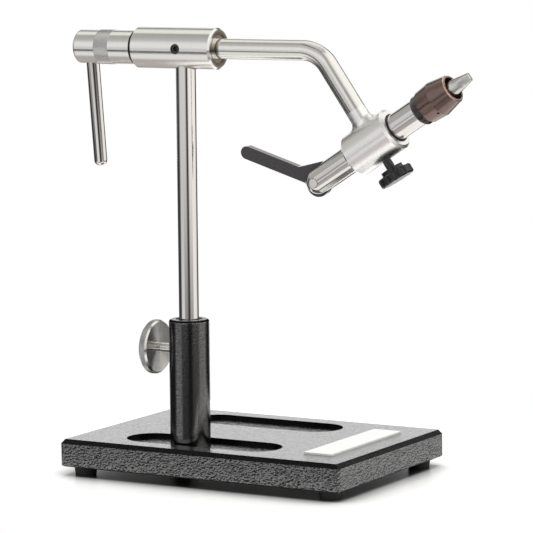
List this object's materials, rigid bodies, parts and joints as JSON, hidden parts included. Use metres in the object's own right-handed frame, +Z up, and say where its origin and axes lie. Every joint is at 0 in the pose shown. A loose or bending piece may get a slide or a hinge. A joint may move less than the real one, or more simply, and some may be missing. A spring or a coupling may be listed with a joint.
{
  "type": "fly tying vise",
  "caption": "Rotary fly tying vise on a black pedestal base: clamped post, cranked rotary head, bent arm and cam-lever jaws that hold a hook.",
  "frame": {"origin": "on the table under the middle of the base plate, level with the bottoms of the feet", "axes": "+Z up, +X along the base's long side and the rotary axis towards the jaws, -Y the front with the column's pocket"},
  "size_m": [0.205, 0.106, 0.2113],
  "materials": {
    "black_coated_steel": "wrinkle powder coat",
    "black_rubber": "matte",
    "white_plastic": "matte",
    "stainless_steel": "satin",
    "polished_steel": "polished",
    "bronze": "turned",
    "brown_bronze": "gloss brown",
    "black_oxide_steel": "black oxide",
    "spring_steel": "drawn wire",
    "black_plastic": "moulded",
    "dark_nylon": "matte"
  },
  "bodies": {
    "base": {"base_plate": "black_coated_steel", "foot_front_left": "black_rubber", "foot_front_right": "black_rubber", "foot_back_left": "black_rubber", "foot_back_right": "black_rubber", "base_strip": "white_plastic", "column": "black_coated_steel", "column_bolt": "black_oxide_steel"},
    "clamp_screw": {"clamp_stud": "stainless_steel", "clamp_knob": "stainless_steel"},
    "liner": {"post_liner": "dark_nylon"},
    "head": {"post": "stainless_steel", "rotary_housing": "stainless_steel", "front_bush": "bronze", "rear_bush": "bronze", "tension_pad": "dark_nylon"},
    "tension_screw": {"tension_screw": "black_oxide_steel"},
    "rotor": {"bent_arm": "stainless_steel", "jaw_collar": "stainless_steel", "retaining_ring": "stainless_steel", "thrust_washer": "dark_nylon", "crank_hub": "stainless_steel", "hub_set_screw": "black_oxide_steel", "crank_handle": "stainless_steel"},
    "collar_screw": {"knob_stud": "black_oxide_steel", "collar_knob": "black_plastic"},
    "collar_liner": {"collar_liner": "dark_nylon"},
    "jaw_tube": {"jaw_tube": "polished_steel", "lever_pin": "polished_steel", "return_spring": "spring_steel"},
    "lever": {"cam_lever": "black_oxide_steel"},
    "plunger": {"plunger": "polished_steel"},
    "sleeve": {"adjusting_sleeve": "brown_bronze"},
    "near_jaw": {"near_jaw": "polished_steel"},
    "far_jaw": {"far_jaw": "polished_steel"}
  },
  "joints": [
    {"name": "clamp_screw_turn", "type": "hinge", "parent": "base", "child": "clamp_screw", "pos_m": [-0.0166, -0.0295, 0.0612], "axis": [-1, 0, 0], "range_deg": [-180, 180]},
    {"name": "post_swivel", "type": "hinge", "parent": "base", "child": "liner", "pos_m": [-0.0166, -0.0295, 0.0755], "axis": [0, 0, 1], "continuous": true},
    {"name": "post_height", "type": "slide", "parent": "liner", "child": "head", "axis": [0, 0, 1], "range_m": [-0.008, 0.02]},
    {"name": "tension_screw_turn", "type": "hinge", "parent": "head", "child": "tension_screw", "pos_m": [-0.0166, -0.0295, 0.2017], "axis": [0, -1, 0], "range_deg": [-180, 180]},
    {"name": "rotary_spin", "type": "hinge", "parent": "head", "child": "rotor", "pos_m": [-0.0166, -0.0295, 0.2017], "axis": [1, 0, 0], "continuous": true},
    {"name": "collar_screw_turn", "type": "hinge", "parent": "rotor", "child": "collar_screw", "pos_m": [0.07981, -0.02484, 0.16082], "axis": [0.5321, 0.0958, -0.8412], "range_deg": [-180, 180]},
    {"name": "jaw_turn", "type": "hinge", "parent": "rotor", "child": "collar_liner", "pos_m": [0.07981, -0.02484, 0.16082], "axis": [0.8467, -0.0602, 0.5287], "continuous": true},
    {"name": "jaw_slide", "type": "slide", "parent": "collar_liner", "child": "jaw_tube", "axis": [0.8467, -0.0602, 0.5287], "range_m": [-0.012, 0.012]},
    {"name": "lever_swing", "type": "hinge", "parent": "jaw_tube", "child": "lever", "pos_m": [0.04984, -0.02271, 0.1421], "axis": [0, -0.9936, -0.1132], "range_deg": [0, 75]},
    {"name": "plunger_slide", "type": "slide", "parent": "jaw_tube", "child": "plunger", "axis": [0.8467, -0.0602, 0.5287], "range_m": [0, 0.00193], "deforming": ["return_spring"]},
    {"name": "near_jaw_close", "type": "hinge", "parent": "jaw_tube", "child": "near_jaw", "pos_m": [0.11342, -0.02723, 0.18181], "axis": [-0.5321, -0.0958, 0.8412], "range_deg": [0, 1]},
    {"name": "far_jaw_close", "type": "hinge", "parent": "jaw_tube", "child": "far_jaw", "pos_m": [0.11342, -0.02723, 0.18181], "axis": [0.5321, 0.0958, -0.8412], "range_deg": [0, 1]},
    {"name": "sleeve_turn", "type": "hinge", "parent": "jaw_tube", "child": "sleeve", "pos_m": [0.10335, -0.02652, 0.17552], "axis": [0.8467, -0.0602, 0.5287], "range_deg": [-180, 180]}
  ],
  "couplings": [
    {"joint": "plunger_slide", "follows": "lever_swing", "m_per_rad": 0.0013952},
    {"joint": "near_jaw_close", "follows": "lever_swing", "ratio": 0.012},
    {"joint": "far_jaw_close", "follows": "lever_swing", "ratio": 0.012}
  ]
}
